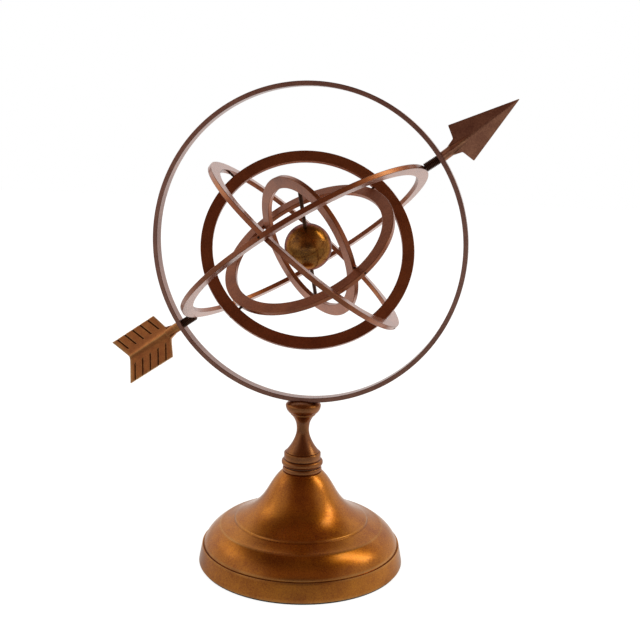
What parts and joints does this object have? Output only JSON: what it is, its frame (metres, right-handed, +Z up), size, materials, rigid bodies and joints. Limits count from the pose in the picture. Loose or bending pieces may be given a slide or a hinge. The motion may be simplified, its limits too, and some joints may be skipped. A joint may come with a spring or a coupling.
{
  "type": "armillary sphere",
  "caption": "Armillary sphere: flat rings pivoted one inside the next round a small globe, in a fixed hoop with an arrow through it, on a turned stand.",
  "frame": {"origin": "centre of the felt disc's underside, on the resting plane under the base", "axes": "+Z up, +X to the right towards the arrow's head, +Y away from the viewer through the fixed hoop"},
  "size_m": [0.3268, 0.22, 0.3906],
  "materials": {
    "antique_brass": "satin, antique",
    "ring_brass": "satin, reddish antique",
    "arrow_brass": "satin, copper brown antique",
    "dark_brass": "satin, nearly black antique",
    "globe_brass": "polished, olive gold",
    "plated_steel": "zinc plated",
    "felt": "matt"
  },
  "bodies": {
    "stand": {"base_felt": "felt", "base_shell": "antique_brass", "collar": "antique_brass", "baluster": "antique_brass", "saddle": "antique_brass", "tie_rod": "plated_steel", "tie_washer": "plated_steel", "tie_nut": "plated_steel", "hoop": "ring_brass", "arrow_head": "arrow_brass", "arrow_tail": "arrow_brass", "head_spacer": "dark_brass", "tail_spacer": "dark_brass"},
    "ring_1": {"ring_1": "ring_brass", "ring_2_pin_a": "dark_brass", "ring_2_pin_b": "dark_brass"},
    "ring_2": {"ring_2": "ring_brass", "ring_3_pin_a": "dark_brass", "ring_3_pin_b": "dark_brass"},
    "ring_3": {"ring_3": "ring_brass", "ring_4_pin_a": "dark_brass", "ring_4_pin_b": "dark_brass"},
    "ring_4": {"ring_4": "ring_brass", "ring_5_pin_a": "dark_brass", "ring_5_pin_b": "dark_brass"},
    "ring_5": {"ring_5": "ring_brass"},
    "globe": {"globe": "globe_brass", "globe_axle": "dark_brass"}
  },
  "joints": [
    {"name": "ring_1_turn", "type": "hinge", "parent": "stand", "child": "ring_1", "pos_m": [-0.0005, 0, 0.26435], "axis": [0.8281, 0, 0.5606], "continuous": true},
    {"name": "ring_2_turn", "type": "hinge", "parent": "ring_1", "child": "ring_2", "pos_m": [-0.0005, 0, 0.26435], "axis": [0.0867, 0.988, -0.1281], "continuous": true},
    {"name": "ring_3_turn", "type": "hinge", "parent": "ring_2", "child": "ring_3", "pos_m": [0.00145, -0.00038, 0.26275], "axis": [-0.7663, 0.1483, 0.6252], "continuous": true},
    {"name": "ring_4_turn", "type": "hinge", "parent": "ring_3", "child": "ring_4", "pos_m": [0.00145, -0.00038, 0.26275], "axis": [0.6021, 0.5056, 0.618], "continuous": true},
    {"name": "ring_5_turn", "type": "hinge", "parent": "ring_4", "child": "ring_5", "pos_m": [0.00145, -0.00038, 0.26275], "axis": [-0.7324, 0.658, 0.1752], "continuous": true},
    {"name": "globe_turn", "type": "hinge", "parent": "ring_5", "child": "globe", "pos_m": [0.00145, -0.00038, 0.26275], "axis": [-0.0423, -0.4903, 0.8705], "continuous": true}
  ]
}
